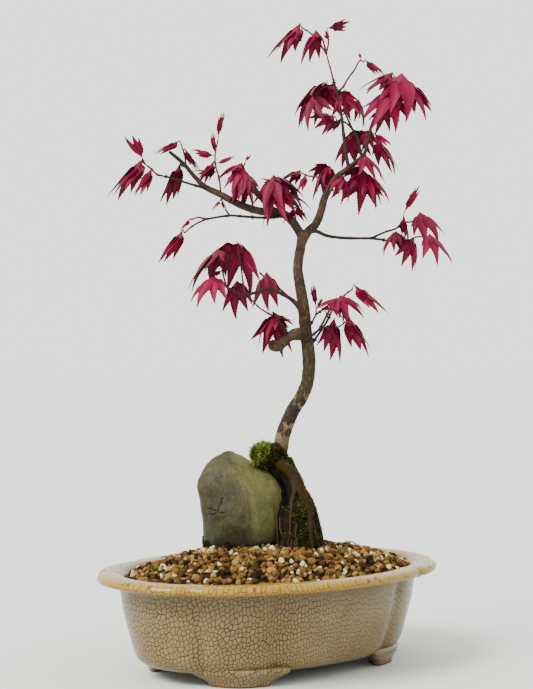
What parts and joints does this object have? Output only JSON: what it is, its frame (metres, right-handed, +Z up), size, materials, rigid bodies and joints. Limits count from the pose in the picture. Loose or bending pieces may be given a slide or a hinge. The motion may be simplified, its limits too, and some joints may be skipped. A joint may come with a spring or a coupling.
{
  "type": "bonsai tree in a pot",
  "caption": "Red-leaved bonsai maple rooted over a river stone, in an oval, lobed, crackle-glazed pot filled with coarse granular soil.",
  "frame": {"origin": "on the surface that the pot stands on, under the middle of the pot", "axes": "+Z up, X along the pot's long side, -Y to the pot's front"},
  "size_m": [0.25, 0.182, 0.4315],
  "materials": {
    "crackle_glaze": "glossy glaze with a fine dark crackle",
    "granules": "dry, porous fired clay and pumice",
    "river_stone": "water-worn, matte",
    "bark": "smooth young bark",
    "leaves": "thin, satin",
    "dark_moss": "moist moss and muck",
    "bright_moss": "soft, tufted",
    "wire": "weathered",
    "mesh_plastic": "matte"
  },
  "bodies": {
    "root": {"drain_screen_left": "mesh_plastic", "drain_screen_right": "mesh_plastic", "moss_apron": "dark_moss", "moss_cushion": "bright_moss", "pot": "crackle_glaze", "rock": "river_stone", "soil": "granules", "spray_apex": "leaves", "spray_centre": "leaves", "spray_crotch": "leaves", "spray_crotch_low": "leaves", "spray_inner_left": "leaves", "spray_inner_low": "leaves", "spray_inner_right": "leaves", "spray_leader_left": "leaves", "spray_leader_right": "leaves", "spray_left_drop": "leaves", "spray_left_end": "leaves", "spray_left_mid": "leaves", "spray_left_stub": "leaves", "spray_left_tip": "leaves", "spray_left_under": "leaves", "spray_limb_front": "leaves", "spray_limb_right": "leaves", "spray_lower_left": "leaves", "spray_mid_left_back": "leaves", "spray_mid_left_end": "leaves", "spray_mid_left_low": "leaves", "spray_mid_left_near": "leaves", "spray_mid_left_tall": "leaves", "spray_mid_right": "leaves", "spray_mid_right_low": "leaves", "spray_right_drop": "leaves", "spray_right_front": "leaves", "spray_right_inner": "leaves", "spray_right_low": "leaves", "spray_shoot": "leaves", "spray_side_inner": "leaves", "spray_side_lower": "leaves", "spray_side_upper": "leaves", "spray_stub": "leaves", "spray_upper_right": "leaves", "spray_upright": "leaves", "tie_wire": "wire", "trunk": "bark"}
  },
  "joints": []
}
